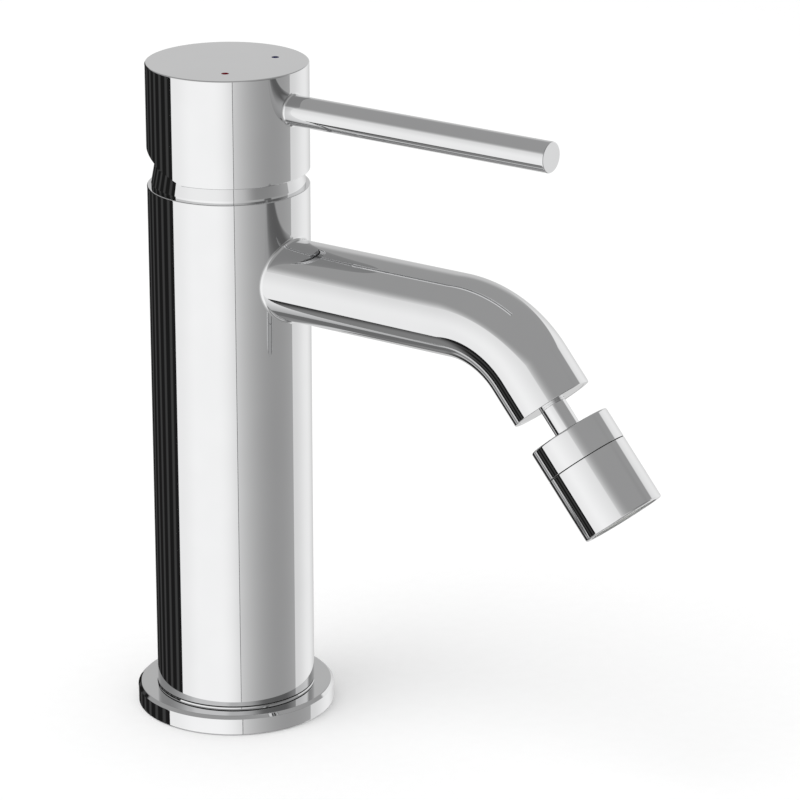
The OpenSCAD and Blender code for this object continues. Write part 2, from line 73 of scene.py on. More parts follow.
class Signal:
    """A node's output, which Python operators extend by Math nodes."""

    def __init__(self, bench: "Bench", socket: bpy.types.NodeSocket | None) -> None:
        """Wraps a socket of the bench's tree, or none for a node that ends it."""
        self.bench = bench
        self.socket = socket

    def _math(self, operation: str, *values: Value, **settings: Any) -> "Signal":
        """Adds one Math node on the given values."""
        return self.bench.node("Math", {"operation": operation, **settings}, values)

    def __add__(self, other: Value) -> "Signal":
        """Sum with another value."""
        return self._math("ADD", self, other)

    __radd__ = __add__

    def __sub__(self, other: Value) -> "Signal":
        """Difference from another value."""
        return self._math("SUBTRACT", self, other)

    def __rsub__(self, other: Value) -> "Signal":
        """What is left of another value."""
        return self._math("SUBTRACT", other, self)

    def __mul__(self, other: Value) -> "Signal":
        """Product with another value."""
        return self._math("MULTIPLY", self, other)

    __rmul__ = __mul__

    def __truediv__(self, other: Value) -> "Signal":
        """Quotient by another value."""
        return self._math("DIVIDE", self, other)

    def __pow__(self, other: Value) -> "Signal":
        """Power of the value."""
        return self._math("POWER", self, other)

    def __abs__(self) -> "Signal":
        """Size of the value without its sign."""
        return self._math("ABSOLUTE", self)

    def sine(self) -> "Signal":
        """Sine of an angle in radians."""
        return self._math("SINE", self)

    def degrees_up(self) -> "Signal":
        """Elevation in degrees of a unit direction's upward share."""
        return self._math("ARCSINE", self) * math.degrees(1)

    def bearing(self, ahead: "Signal") -> "Signal":
        """Bearing in degrees of this sideways share against the share ahead."""
        return self._math("ARCTAN2", self, ahead) * math.degrees(1)

    def fade(self, start: float, end: float, low: float = 0.0, high: float = 1.0) -> "Signal":
        """Smooth passage from one level to another.

        Args:
            start: Value where the passage begins.
            end: Value where it ends.
            low: Level before the passage.
            high: Level after it.

        Returns:
            The level, held at both ends.
        """
        settings = {"interpolation_type": "SMOOTHSTEP", "clamp": True}
        return self.bench.node("MapRange", settings, (self, start, end, low, high))

    def ramp(self, start: float, end: float) -> "Signal":
        """Straight rise from nought to one between two values, held at both ends."""
        return self.bench.node("MapRange", {"clamp": True}, (self, start, end, 0.0, 1.0))

    def step(self, border: float, soft: float) -> "Signal":
        """Nought below a border and one above it, with a passage of a given softness."""
        return self.fade(border - soft, border + soft)

    def within(self, low: float, high: float, soft: float) -> "Signal":
        """One between two borders and nought outside them, with borders of a given softness."""
        return self.step(low, soft) * (1 - self.step(high, soft))


class Bench:
    """Adds nodes to one node tree."""

    def __init__(self, tree: bpy.types.NodeTree) -> None:
        """Takes over a tree and clears it."""
        tree.nodes.clear()
        self.tree = tree

    def node(
        self,
        kind: str,
        settings: Mapping[str, Any] | None = None,
        inputs: Mapping[str | int, Value] | Sequence[Value] = (),
        output: int | str = 0,
    ) -> Signal:
        """Adds a node, sets it up and wires it.

        Args:
            kind: Node type without its leading word.
            settings: Properties, set before the sockets.
            inputs: Values or links of its sockets, by name, by place or in order.
            output: Name or place of the socket to hand back.

        Returns:
            The wanted output.
        """
        made = self.tree.nodes.new("ShaderNode" + kind)
        for key, value in (settings or {}).items():
            setattr(made, key, value)
        pairs = inputs.items() if isinstance(inputs, Mapping) else enumerate(inputs)
        for key, value in pairs:
            if isinstance(value, Signal):
                self.tree.links.new(value.socket, made.inputs[key])
            else:
                made.inputs[key].default_value = value
        return Signal(self, made.outputs[output] if made.outputs else None)

    def mix(self, factor: Value, first: Value, second: Value) -> Signal:
        """Colour between two colours; only their places tell this node's colour sockets apart."""
        return self.node("Mix", {"data_type": "RGBA"}, {0: factor, 6: first, 7: second}, 2)


class Pattern(Enum):
    """How a finish varies over its surface."""

    POLISH = "soft clouds left by the polishing wheel"
    LATHE = "fine rings left by a turning tool"
    GRAIN = "even fine grain of a mould"
    SPECK = "small specks of a fired body"


@dataclass(frozen=True)
class Finish:
    """A surface finish: a pattern passes between two tones and two roughnesses, over a fine relief."""

    name: str
    tone: Colour
    far_tone: Colour
    roughness: tuple[float, float]
    pattern: Pattern
    feature: float
    relief: float = 0.0
    metallic: float = 0.0
    refraction: float = 1.45

    def _mask(self, bench: Bench) -> Signal:
        """Pattern as a value from nought to one.

        Args:
            bench: Tree that the nodes go into.

        Returns:
            The pattern's value.
        """
        place = bench.node("TexCoord", output="Object")
        density = 1 / (self.feature * MM)
        if self.pattern is Pattern.LATHE:
            flat = bench.node("VectorMath", {"operation": "MULTIPLY"}, (place, (1, 1, 0)))
            radius = bench.node("VectorMath", {"operation": "LENGTH"}, (flat,), "Value")
            height = bench.node("SeparateXYZ", None, (place,), "Z")
            rings = ((radius + height) * (density * math.tau)).sine() * 0.5 + 0.5
            slow = {"Vector": place, "Scale": density / RINGS_PER_DRIFT, "Detail": PLAIN_DETAIL}
            return rings * bench.node("TexNoise", None, slow)
        if self.pattern is Pattern.SPECK:
            cells = bench.node("TexVoronoi", None, {"Vector": place, "Scale": density}, "Distance")
            return cells.fade(*SPECK_SPAN)
        detail = CLOUD_DETAIL if self.pattern is Pattern.POLISH else PLAIN_DETAIL
        noise = bench.node("TexNoise", None, {"Vector": place, "Scale": density, "Detail": detail})
        return noise.fade(*NOISE_SPAN)

    def material(self) -> bpy.types.Material:
        """Makes the material, or finds the one made before.

        Returns:
            The material of this finish.
        """
        known = bpy.data.materials.get(self.name)
        if known:
            return known
        material = bpy.data.materials.new(self.name)
        material.use_nodes = True
        bench = Bench(material.node_tree)
        mask = self._mask(bench)
        smooth, rough = self.roughness
        inputs = {
            "Base Color": bench.mix(mask, (*self.tone, 1.0), (*self.far_tone, 1.0)),
            "Roughness": mask * (rough - smooth) + smooth,
            "Metallic": self.metallic,
            "IOR": self.refraction,
        }
        if self.relief:
            depth = {"Strength": 1.0, "Distance": self.relief * MM, "Height": mask}
            inputs["Normal"] = bench.node("Bump", None, depth)
        surface = bench.node("BsdfPrincipled", None, inputs)
        bench.node("OutputMaterial", None, {"Surface": surface})
        return material


CHROME = Finish(
    "polished_chrome", (0.675, 0.677, 0.681), (0.663, 0.665, 0.669), (0.02, 0.03),
    Pattern.POLISH, feature=14, metallic=1.0,
)
CAST_METAL = Finish(
    "cast_metal", (0.66, 0.66, 0.65), (0.56, 0.56, 0.55), (0.45, 0.6),
    Pattern.GRAIN, feature=0.4, relief=0.02, metallic=0.35,
)
TURNED_BRASS = Finish(
    "turned_brass", (0.80, 0.60, 0.28), (0.68, 0.48, 0.20), (0.22, 0.38),
    Pattern.LATHE, feature=0.5, relief=0.01, metallic=1.0,
)
TURNED_STEEL = Finish(
    "turned_steel", (0.60, 0.61, 0.62), (0.48, 0.49, 0.50), (0.24, 0.36),
    Pattern.LATHE, feature=0.4, relief=0.008, metallic=1.0,
)
RUBBER = Finish(
    "black_rubber", (0.022, 0.022, 0.023), (0.035, 0.035, 0.034), (0.62, 0.8),
    Pattern.GRAIN, feature=0.5, relief=0.02,
)
PALE_PLASTIC = Finish(
    "pale_plastic", (0.80, 0.80, 0.76), (0.74, 0.74, 0.70), (0.38, 0.5),
    Pattern.GRAIN, feature=0.6, relief=0.01,
)
GREY_PLASTIC = Finish(
    "grey_plastic", (0.20, 0.21, 0.23), (0.16, 0.17, 0.19), (0.36, 0.5),
    Pattern.GRAIN, feature=0.6, relief=0.01,
)
CERAMIC = Finish(
    "lapped_ceramic", (0.86, 0.83, 0.77), (0.80, 0.77, 0.70), (0.12, 0.22),
    Pattern.SPECK, feature=0.8,
)
RED_ENAMEL = Finish(
    "red_enamel", (0.11, 0.003, 0.008), (0.09, 0.002, 0.006), (0.5, 0.62),
    Pattern.GRAIN, feature=0.3, relief=0.004, refraction=1.02,
)
BLUE_ENAMEL = Finish(
    "blue_enamel", (0.003, 0.004, 0.055), (0.002, 0.003, 0.042), (0.5, 0.62),
    Pattern.GRAIN, feature=0.3, relief=0.004, refraction=1.02,
)
FLOOR_PAPER = Finish(
    "floor_paper", (0.97, 0.97, 0.97), (0.9603, 0.9603, 0.9603), (0.8, 0.9),
    Pattern.GRAIN, feature=4,
)

SLOT_FINISHES = {
    "chrome": CHROME,
    "brass": TURNED_BRASS,
    "steel": TURNED_STEEL,
    "rubber": RUBBER,
    "pale_plastic": PALE_PLASTIC,
    "grey_plastic": GREY_PLASTIC,
    "ceramic": CERAMIC,
    "red_inlay": RED_ENAMEL,
    "blue_inlay": BLUE_ENAMEL,
}


def box_mm(node: str) -> tuple[Vector, Vector]:
    """Lowest and highest corner of a solid of the frame, in millimetres."""
    low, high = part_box(node)
    return low / MM, high / MM


def body_of(node: str) -> str:
    """Name of the body that a solid of the frame moves with."""
    bodies = frame["record"]["behaviour"]["bodies"]
    return next(body for body, members in bodies.items() if node in members)


def slot_of(node: str) -> str:
    """Name of the record's material slot that a solid of the frame belongs to."""
    return next(part["material_slot"] for part in frame["record"]["subparts"] if part["node"] == node)


def joint(name: str) -> Mapping[str, Any]:
    """A joint of the frame by its name."""
    return next(j for j in frame["joints"] if j["name"] == name)


@dataclass(frozen=True)
class Corner:
    """Corner of a turned outline, in millimetres, and the radius that rounds it off."""

    radius: float
    height: float
    rounding: float = 0.0


def outline(corners: Sequence[Corner]) -> list[Vector]:
    """Points of an outline whose corners are rounded off by arcs.

    Args:
        corners: Corners in order; the first and the last are taken as neighbours.

    Returns:
        Points of radius and height.
    """
    points = []
    for index, corner in enumerate(corners):
        here = Vector((corner.radius, corner.height))
        if not corner.rounding:
            points.append(here)
            continue
        before, after = corners[index - 1], corners[(index + 1) % len(corners)]
        back = (Vector((before.radius, before.height)) - here).normalized()
        ahead = (Vector((after.radius, after.height)) - here).normalized()
        half = back.angle(ahead) / 2
        reach = corner.rounding / math.tan(half)
        middle = here + (back + ahead).normalized() * (corner.rounding / math.sin(half))
        start, end = here + back * reach - middle, here + ahead * reach - middle
        shares = [step / ARC_STEPS for step in range(ARC_STEPS + 1)]
        points += [middle + start.slerp(end, share) * corner.rounding for share in shares]
    return points


def arc(height: float, radius: float, start: float, end: float, steps: int) -> list[Vector]:
    """Points of an arc about a point on the turning axis.

    Args:
        height: Height of the arc's middle on the axis.
        radius: Radius of the arc.
        start: Angle of its first point from the axis, in degrees.
        end: Angle of its last point.
        steps: Number of chords.

    Returns:
        Points of radius and height.
    """
    angles = [math.radians(start + (end - start) * step / steps) for step in range(steps + 1)]
    return [Vector((radius * math.sin(a), height + radius * math.cos(a))) for a in angles]


class Piece:
    """A piece in the making: a bmesh in millimetres, and what it will be called and dressed in."""

    def __init__(self, node: str, *finishes: Finish) -> None:
        """Starts an empty piece.

        Args:
            node: Solid of the frame that the piece stands for.
            finishes: Finishes in the order of its material slots.
        """
        self.node = node
        self.finishes = finishes or (SLOT_FINISHES[slot_of(node)],)
        self.bm = bmesh.new()
        self.spoke = self.bm.verts.layers.float_vector.new("spoke")

    def turn(self, points: Sequence[Vector], closed: bool = True) -> None:
        """Turns an outline about the vertical axis.

        Args:
            points: Points of radius and height.
            closed: Whether the last point joins the first.
        """
        verts = [self.bm.verts.new((point.x, 0, point.y)) for point in points]
        pairs = list(zip(verts, verts[1:]))
        if closed:
            pairs.append((verts[-1], verts[0]))
        edges = [self.bm.edges.new(pair) for pair in pairs]
        bmesh.ops.spin(
            self.bm, geom=verts + edges, cent=(0, 0, 0), axis=(0, 0, 1), dvec=(0, 0, 0),
            angle=math.tau, steps=TURN_STEPS, use_merge=True, use_duplicate=False,
        )
        self.clean()

    def clean(self) -> None:
        """Merges doubles and turns the faces outwards."""
        bmesh.ops.remove_doubles(self.bm, verts=self.bm.verts, dist=MERGE_DISTANCE)
        bmesh.ops.dissolve_degenerate(self.bm, edges=self.bm.edges, dist=MERGE_DISTANCE)
        bmesh.ops.recalc_face_normals(self.bm, faces=self.bm.faces)

    def pull(self, ring: Sequence[BMEdge], place: Callable[[Vector], Vector]) -> list[BMEdge]:
        """Extrudes a ring of edges by one row.

        Args:
            ring: Edges of the row so far.
            place: Gives a vertex of the new row its place from its spoke.

        Returns:
            Edges of the new row.
        """
        made = bmesh.ops.extrude_edge_only(self.bm, edges=ring)["geom"]
        for vert in (item for item in made if isinstance(item, BMVert)):
            vert.co = place(vert[self.spoke])
        return [item for item in made if isinstance(item, BMEdge) and item.is_boundary]

    def root(self, radius: float, height: float, wall: float, fillet: float, sides: int) -> list[BMEdge]:
        """Starts a round bar along +X out of an upright round wall, with a rolled fillet between them.

        Args:
            radius: Radius of the bar.
            height: Height of its axis.
            wall: Radius of the wall.
            fillet: Radius of the fillet.
            sides: Sides of the bar.

        Returns:
            Ring of edges where the fillet ends on the bar.
        """
        def along(spoke: Vector, share: float) -> Vector:
            """Place on the fillet.

            Args:
                spoke: Way out from the bar's axis.
                share: Nought on the bar and one on the wall.

            Returns:
                The place.
            """
            centre = spoke * (radius + fillet)
            centre.x = math.sqrt((wall + fillet) ** 2 - centre.y ** 2)
            inward = Vector((-centre.x, -centre.y, 0)).normalized()
            way = (-spoke).slerp(inward, share)
            return centre + way * fillet + Vector((0, 0, height))

        upright = Matrix.Rotation(math.pi / 2, 4, "Y")
        verts = bmesh.ops.create_circle(self.bm, segments=sides, radius=radius, matrix=upright)["verts"]
        for vert in verts:
            vert[self.spoke] = vert.co.normalized()
            vert.co = along(vert[self.spoke], 0)
        ring = list({edge for vert in verts for edge in vert.link_edges})
        row = ring
        for step in range(1, ARC_STEPS + 1):
            row = self.pull(row, lambda spoke, share=step / ARC_STEPS: along(spoke, share))
        sunk = (wall - fillet) / wall
        row = self.pull(row, lambda spoke: Matrix.Diagonal((sunk, sunk, 1)) @ along(spoke, 1))
        bmesh.ops.edgeloop_fill(self.bm, edges=row)
        return ring

    def deliver(self, place: Matrix | None = None) -> bpy.types.Object:
        """Makes the piece an object of the frame.

        Args:
            place: Where the piece goes, in millimetres, if it was not made in place.

        Returns:
            The finished object, in the node's stead.
        """
        scale = Matrix.Scale(MM, 4)
        bmesh.ops.transform(self.bm, matrix=scale @ (place or Matrix()), verts=self.bm.verts)
        self.bm.verts.layers.float_vector.remove(self.spoke)
        mesh = bpy.data.meshes.new(self.node + "_skin")
        self.bm.to_mesh(mesh)
        self.bm.free()
        mesh.shade_smooth()
        mesh.set_sharp_from_angle(angle=SHARP_ANGLE)
        for finish in self.finishes:
            mesh.materials.append(finish.material())
        made = bpy.data.objects.new(self.node + "_skin", mesh)
        bpy.context.scene.collection.objects.link(made)
        normals = made.modifiers.new("normals", "WEIGHTED_NORMAL")
        normals.keep_sharp = True
        normals.weight = LARGE_FACE_WEIGHT
        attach(made, body_of(self.node))
        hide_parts(self.node)
        slot_of(self.node)
        LOG.info("%s: %d faces", made.name, len(mesh.polygons))
        return made


def dress(node: str, finish: Finish | None = None) -> None:
    """Gives a solid of the frame its finish.

    Args:
        node: Solid to dress.
        finish: Finish, where it isn't that of the solid's slot.
    """
    solid = frame["nodes"][node]
    solid.data.materials.clear()
    solid.data.materials.append((finish or SLOT_FINISHES[slot_of(node)]).material())
    LOG.info("%s: dressed", node)


@dataclass
class Foot:
    """Base flange with its gasket and the ring that holds it on the column."""

    bevel: float = 0.8
    top_edge: float = 0.35
    side_edge: float = 0.12
    lower_edge: float = 0.3
    gasket_width: float = 4
    gasket_gap: float = 0.03

    def build(self) -> None:
        """Builds the flange and dresses its seals."""
        low, high = box_mm("base_flange")
        gasket_high = box_mm("flange_gasket")[1]
        outer, height = high.y, high.z
        bore = box_mm("flange_o_ring")[1].y + self.gasket_gap
        groove_out = gasket_high.y + self.gasket_gap
        groove_in = groove_out - self.gasket_width - 2 * self.gasket_gap
        piece = Piece("base_flange")
        piece.turn(outline([
            Corner(bore, low.z), Corner(groove_in, low.z), Corner(groove_in, gasket_high.z),
            Corner(groove_out, gasket_high.z), Corner(groove_out, low.z),
            Corner(outer, low.z, self.lower_edge), Corner(outer, height - self.bevel, self.side_edge),
            Corner(outer - self.bevel, height, self.top_edge), Corner(bore, height),
        ]))
        piece.deliver()
        dress("flange_gasket")
        dress("flange_o_ring")


@dataclass(frozen=True)
class Way:
    """Tapped hole in the column's web."""

    x: float
    y: float
    radius: float
    depth: float
    pitch: float


@dataclass
class Column:
    """Turned column with a hollow foot, threaded water ways in its web, the cartridge's seat above, and a thin
    groove at its foot whose inner faces are painted black as shade.
    """

    foot_ring: float = 0.42
    foot_flare: float = 0.12
    groove: float = 0.3
    groove_depth: float = 0.7
    groove_edge: float = 0.06
    rim_edge: float = 0.25
    spigot: float = 18.5
    foot_bore: float = 16
    foot_depth: float = 62
    seat: float = 19
    seat_depth: float = 14
    mouth_edge: float = 0.5
    ways: tuple[Way, ...] = (
        Way(4.5, -7.6, 4.5, 12, 1.0), Way(4.5, 7.6, 4.5, 12, 1.0), Way(-9.5, 0, 3.4, 14, 1.25),
    )
    way_sides: int = 48
    thread_depth: float = 0.5
    slack: float = 0.1

    def build(self) -> None:
        """Builds the column: a turned shell, and a web with three tapped holes."""
        low, high = box_mm("body_column")
        shoulder = box_mm("base_flange")[1].z
        radius = high.y
        piece = Piece("body_column", CHROME, TURNED_BRASS, RUBBER)
        ring = shoulder + self.foot_ring
        floor = radius - self.groove_depth
        corners = [
            Corner(self.foot_bore, self.foot_depth), Corner(self.foot_bore, low.z, self.mouth_edge),
            Corner(self.spigot, low.z, self.mouth_edge), Corner(self.spigot, shoulder),
            Corner(radius + self.foot_flare, shoulder), Corner(radius, ring, self.groove_edge),
            Corner(floor, ring), Corner(floor, ring + self.groove),
            Corner(radius, ring + self.groove, self.groove_edge), Corner(radius, high.z, self.rim_edge),
            Corner(self.seat, high.z, self.rim_edge), Corner(self.seat, high.z - self.seat_depth),
            Corner(0, high.z - self.seat_depth),
        ]
        piece.turn(outline(corners), closed=False)
        self._tap_web(piece)
        piece.clean()
        for face in piece.bm.faces:
            middle = face.calc_center_median()
            reach = middle.xy.length
            in_groove = shoulder < middle.z < ring + self.groove + self.slack
            if reach < self.seat - self.slack:
                face.material_index = 1
            # Black rubber on the groove's inner faces is painted shade: it stands for the shadow in the thin gap
            # at the column's foot.
            elif in_groove and floor - self.slack < reach < radius - self.slack:
                face.material_index = 2
        piece.deliver()

    def _tap_web(self, piece: Piece) -> None:
        """Fills the foot's roof round the tapped holes and cuts their threads.

        Args:
            piece: The column, open at the top of its foot.
        """
        rim = [edge for edge in piece.bm.edges if edge.is_boundary]
        mouths = []
        for way in self.ways:
            middle = Vector((way.x, way.y, self.foot_depth))
            verts = bmesh.ops.create_circle(
                piece.bm, segments=self.way_sides, radius=way.radius, matrix=Matrix.Translation(middle)
            )["verts"]
            for vert in verts:
                vert[piece.spoke] = (vert.co - middle).normalized()
            mouths.append(list({edge for vert in verts for edge in vert.link_edges}))
        borders = rim + [edge for mouth in mouths for edge in mouth]
        bmesh.ops.triangle_fill(piece.bm, edges=borders, use_beauty=True, normal=(0, 0, -1))
        for row, way in zip(mouths, self.ways):
            for step in range(1, round(2 * way.depth / way.pitch) + 1):
                reach = way.radius + (self.thread_depth if step % 2 else 0)
                middle = Vector((way.x, way.y, self.foot_depth + step * way.pitch / 2))
                row = piece.pull(row, lambda spoke, m=middle, r=reach: m + spoke * r)
            bmesh.ops.edgeloop_fill(piece.bm, edges=row)


@dataclass
class Spout:
    """Bent tube that grows out of the column, with a plug in its end that is flush with its rim."""

    fillet: float = 1.0
    sides: int = 192
    bend_radius: float = 28
    bend_steps: int = 48
    run: float = 73.8
    tail: float = 10.8
    wall: float = 1.5
    rim: float = 0.2
    bore_depth: float = 3
    plug_sunk: float = 0.05
    plug_gap: float = 0.06
    plug_eye: float = 3.62
    plug_edge: float = 0.12

    def build(self) -> None:
        """Builds the tube and its plug."""
        high = box_mm("spout_tube")[1]
        radius = high.y
        level = high.z - radius
        wall = box_mm("body_column")[1].y
        out = Vector(joint("aerator_spin")["axis"])
        bend = math.atan2(-out.z, out.x)
        swing = Matrix.Rotation(bend, 3, "Y")
        centre = Vector((self.run, 0, level - self.bend_radius))
        end = centre + swing @ Vector((self.tail, 0, self.bend_radius))
        piece = Piece("spout_tube")

        def row_at(reach: float, along: float) -> Callable[[Vector], Vector]:
            """Places of a row round the tube's end, by its radius and its way out."""
            return lambda spoke: end + swing @ (spoke * reach + Vector((along, 0, 0)))

        ring = piece.root(radius, level, wall, self.fillet, self.sides)
        ring = piece.pull(ring, lambda spoke: Vector((self.run, 0, level)) + spoke * radius)
        verts = list({vert for edge in ring for vert in edge.verts})
        last = bmesh.ops.spin(
            piece.bm, geom=verts + ring, cent=centre, axis=(0, 1, 0), dvec=(0, 0, 0),
            angle=bend, steps=self.bend_steps, use_duplicate=False,
        )["geom_last"]
        ring = [item for item in last if isinstance(item, BMEdge) and item.is_boundary]
        for point in outline([
            Corner(radius, -self.tail), Corner(radius, 0, self.rim),
            Corner(radius - self.wall, 0, self.rim), Corner(radius - self.wall, -self.bore_depth),
        ])[1:]:
            ring = piece.pull(ring, row_at(point.x, point.y))
        bmesh.ops.edgeloop_fill(piece.bm, edges=ring)
        piece.clean()
        piece.deliver()
        self._plug(radius - self.wall - self.plug_gap).deliver(
            Matrix.Translation(end) @ swing.to_4x4() @ Matrix.Rotation(math.pi / 2, 4, "Y")
        )
        dress("outlet_o_ring")

    def _plug(self, radius: float) -> Piece:
        """Builds the plug that the stem screws into.

        Args:
            radius: Its outer radius.

        Returns:
            The piece, upright, with the tube's rim at nought.
        """
        face, back = -self.plug_sunk, self.plug_gap - self.bore_depth
        piece = Piece("outlet_bush")
        piece.turn(outline([
            Corner(self.plug_eye, back), Corner(radius, back), Corner(radius, face, self.plug_edge),
            Corner(self.plug_eye, face, self.plug_edge),
        ]))
        return piece


@dataclass
class Aerator:
    """Ball joint and the two turned shells of the aerator, made upright and laid along the outlet's axis."""

    ball: float = 6.5
    ball_flat: float = 5.6
    stem: float = 3.5
    stem_way: float = 2
    gap: float = 8
    ball_depth: float = 6
    radius: float = 11.05
    cap: float = 8.4
    length: float = 26.2
    edge: float = 0.43
    joint_edge: float = 0.08
    joint_gap: float = 0.2
    mouth: float = 6.37
    mouth_depth: float = 1.1
    mouth_slope: float = 21.1
    cavity: float = 7.7
    cavity_end: float = 85
    neck: float = 9.4
    throat: float = 4.5
    chamber: float = 9.5
    chamber_at: float = 15.6
    arc_steps: int = 16

    def build(self) -> None:
        """Builds the stem and both shells, and dresses what they hold."""
        spin = joint("aerator_spin")
        out = Vector(spin["axis"])
        ball = Vector(spin["pos_m"]) / MM
        lay = Matrix.Rotation(math.pi / 2 + math.atan2(-out.z, out.x), 4, "Y")
        place = Matrix.Translation(ball - out * self.ball_depth) @ lay
        self._stem().deliver(place)
        self._cap().deliver(place)
        self._shell().deliver(place)
        for node in (
            "ball_seat_upper", "ball_seat_lower", "aerator_gasket", "aerator_insert", "aerator_mesh",
        ):
            dress(node)

    def _polar(self, radius: float, reach: float) -> float:
        """Angle in degrees from the axis of the point of a sphere at a distance from the axis."""
        return math.degrees(math.asin(reach / radius))

    def _stem(self) -> Piece:
        """Builds the stem with its ball.

        Returns:
            The piece, upright, with the cap's top at nought.
        """
        flat = math.degrees(math.acos(self.ball_flat / self.ball))
        neck = 180 - self._polar(self.ball, self.stem)
        sunk = -self.gap - self.stem
        foot = [Vector((0, sunk)), Vector((self.stem, sunk))]
        ball = arc(self.ball_depth, self.ball, neck, flat, self.arc_steps)
        way = [
            Vector((self.stem_way, self.ball_depth + self.ball_flat)),
            Vector((self.stem_way, self.ball_depth)), Vector((0, self.ball_depth)),
        ]
        piece = Piece("ball_stem")
        piece.turn([*foot, *ball, *way], closed=False)
        return piece

    def _cap(self) -> Piece:
        """Builds the upper shell with its conical mouth.

        Returns:
            The piece, upright, with its top at nought.
        """
        lip = self.mouth - self.mouth_depth * math.tan(math.radians(self.mouth_slope))
        foot = self.cap - self.joint_gap / 2
        socket = arc(self.ball_depth, self.cavity, 90, 180 - self._polar(self.cavity, lip), self.arc_steps)
        shell = outline([
            Corner(lip, self.mouth_depth), Corner(self.mouth, 0, self.joint_edge),
            Corner(self.radius, 0, self.edge), Corner(self.radius, foot, self.joint_edge),
            Corner(self.neck, foot), Corner(self.neck, self.ball_depth),
        ])
        piece = Piece("aerator_cap", CHROME, RUBBER)
        piece.turn([*shell, *socket[:-1]])
        self._darken_joint(piece)
        return piece

    def _shell(self) -> Piece:
        """Builds the lower shell with the insert's chamber.

        Returns:
            The piece, upright, with the cap's top at nought.
        """
        start = self._polar(self.cavity, self.throat)
        socket = arc(self.ball_depth, self.cavity, start, self.cavity_end, self.arc_steps)
        seat = socket[-1].y
        head = self.cap + self.joint_gap / 2
        shell = outline([
            Corner(self.neck, seat), Corner(self.neck, head), Corner(self.radius, head, self.joint_edge),
            Corner(self.radius, self.length, self.edge), Corner(self.chamber, self.length, self.joint_edge),
            Corner(self.chamber, self.chamber_at), Corner(self.throat, self.chamber_at),
        ])
        piece = Piece("aerator_shell", CHROME, RUBBER)
        piece.turn([*shell, *socket])
        self._darken_joint(piece)
        return piece

    def _darken_joint(self, piece: Piece) -> None:
        """Gives the faces inside the joint of the two shells the look of its thin black seal.

        Args:
            piece: One of the two shells, upright.
        """
        for face in piece.bm.faces:
            middle = face.calc_center_median()
            deep = self.neck - self.joint_gap < middle.xy.length < self.radius - 2 * self.joint_edge
            if deep and abs(middle.z - self.cap) < self.joint_gap:
                face.material_index = 1


